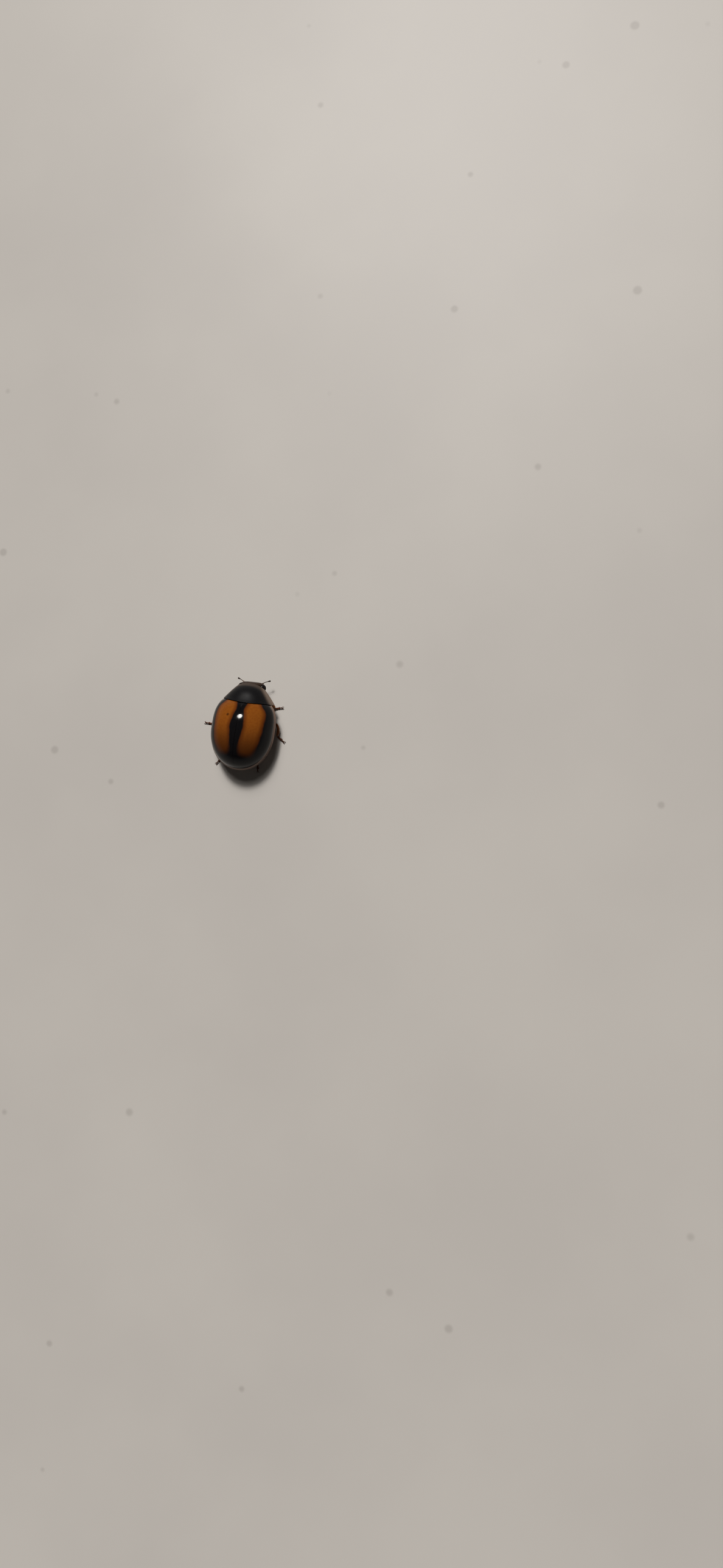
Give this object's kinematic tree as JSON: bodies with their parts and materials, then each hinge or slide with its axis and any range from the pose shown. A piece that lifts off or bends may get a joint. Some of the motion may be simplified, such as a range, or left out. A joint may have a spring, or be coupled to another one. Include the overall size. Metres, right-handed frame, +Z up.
{
  "type": "ladybird beetle",
  "caption": "Life-size ladybird standing on six legs: two glossy black wing cases, each with a broad amber stripe, a black neck shield, and a tucked head with eyes, feelers and palps.",
  "frame": {"origin": "on the floor under the middle of the standing animal's bounding box", "axes": "+Z up, the head points to -Y, the animal's left side is +X"},
  "size_m": [0.005, 0.0052, 0.0025],
  "materials": {
    "wing_case": "polished chitin, black with a broad amber stripe",
    "black_shell": "polished black chitin with a pale brown side border",
    "eye": "black, finely faceted",
    "underside": "dark brown chitin with short fine hairs",
    "limb": "amber brown chitin, darker at the joints and feet"
  },
  "bodies": {
    "root": {"wing_case_left": "wing_case", "wing_case_right": "wing_case", "scutellum": "black_shell", "neck_shield": "black_shell", "head": "black_shell", "eye_left": "eye", "eye_right": "eye", "feeler_left": "limb", "feeler_right": "limb", "palp_left": "limb", "palp_right": "limb", "lip": "underside", "breast": "underside", "thorax": "underside", "abdomen": "underside", "thigh_fore_left": "limb", "shin_fore_left": "limb", "foot_fore_left": "limb", "thigh_fore_right": "limb", "shin_fore_right": "limb", "foot_fore_right": "limb", "thigh_mid_left": "limb", "shin_mid_left": "limb", "foot_mid_left": "limb", "thigh_mid_right": "limb", "shin_mid_right": "limb", "foot_mid_right": "limb", "thigh_hind_left": "limb", "shin_hind_left": "limb", "foot_hind_left": "limb", "thigh_hind_right": "limb", "shin_hind_right": "limb", "foot_hind_right": "limb"}
  },
  "joints": []
}
